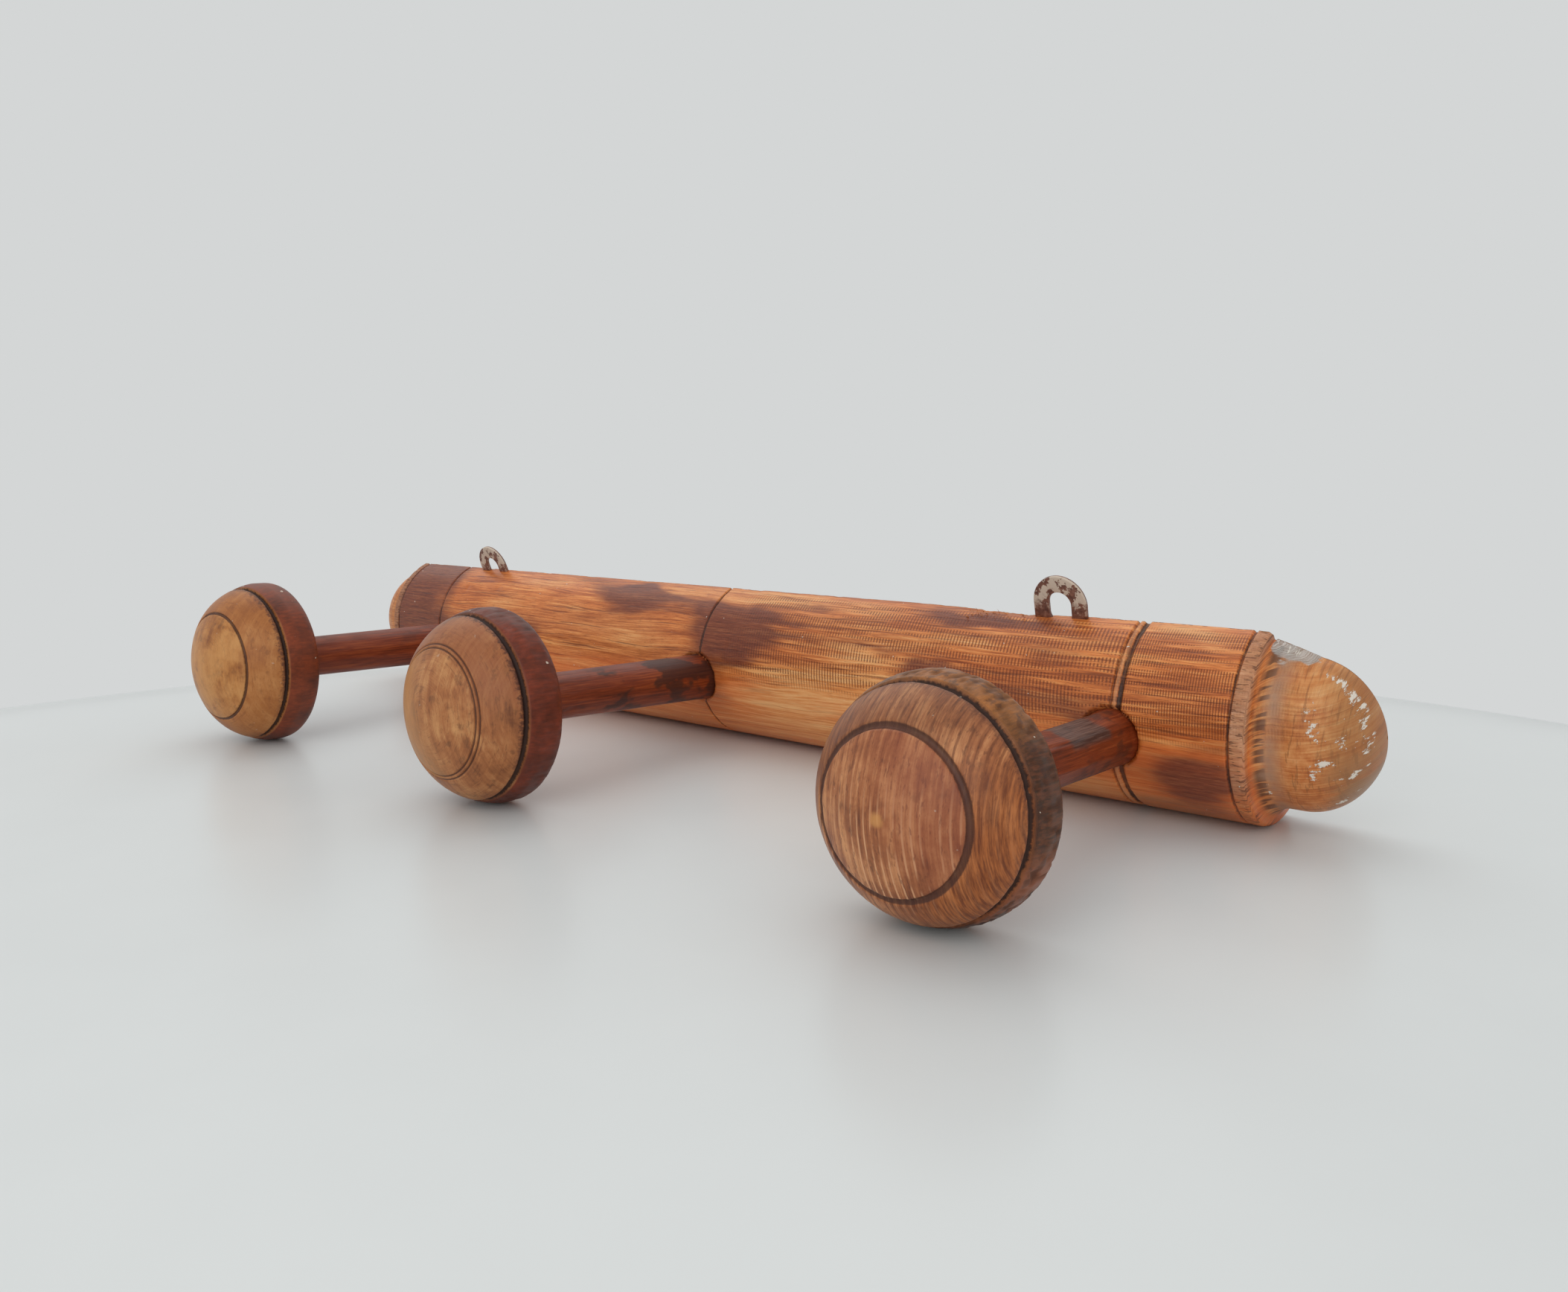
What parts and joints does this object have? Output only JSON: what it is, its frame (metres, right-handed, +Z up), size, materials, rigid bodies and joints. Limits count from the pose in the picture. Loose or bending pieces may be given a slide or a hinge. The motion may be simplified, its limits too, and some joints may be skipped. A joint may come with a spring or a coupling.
{
  "type": "wall peg rail",
  "caption": "Turned wooden peg rail: a half-round ring-turned bar with domed ends, mushroom knobs on dowel pegs and steel hanger loops on its flat back.",
  "frame": {"origin": "on the table, under the middle of the rack's bounding box as it lies: rail on its round side, tipped 20 degrees forward until the knobs touch", "axes": "+X along the rail towards the end with the twin ring, -Y the way the pegs and knobs point, +Z up from the table"},
  "size_m": [0.4356, 0.147, 0.0662],
  "materials": {
    "rail_wood": "worn satin varnish",
    "peg_wood": "worn satin varnish",
    "knob_pale_wood": "worn satin varnish",
    "knob_oak_wood": "worn satin varnish",
    "hanger_steel": "chipped paint",
    "screw_steel": "dull steel"
  },
  "bodies": {
    "root": {"rail": "rail_wood", "peg_1": "peg_wood", "peg_2": "peg_wood", "peg_3": "peg_wood", "knob_1": "knob_pale_wood", "knob_2": "knob_pale_wood", "knob_3": "knob_oak_wood", "hanger_plate_1": "hanger_steel", "hanger_plate_2": "hanger_steel", "screw_1a": "screw_steel", "screw_1b": "screw_steel", "screw_2a": "screw_steel", "screw_2b": "screw_steel"}
  },
  "joints": []
}
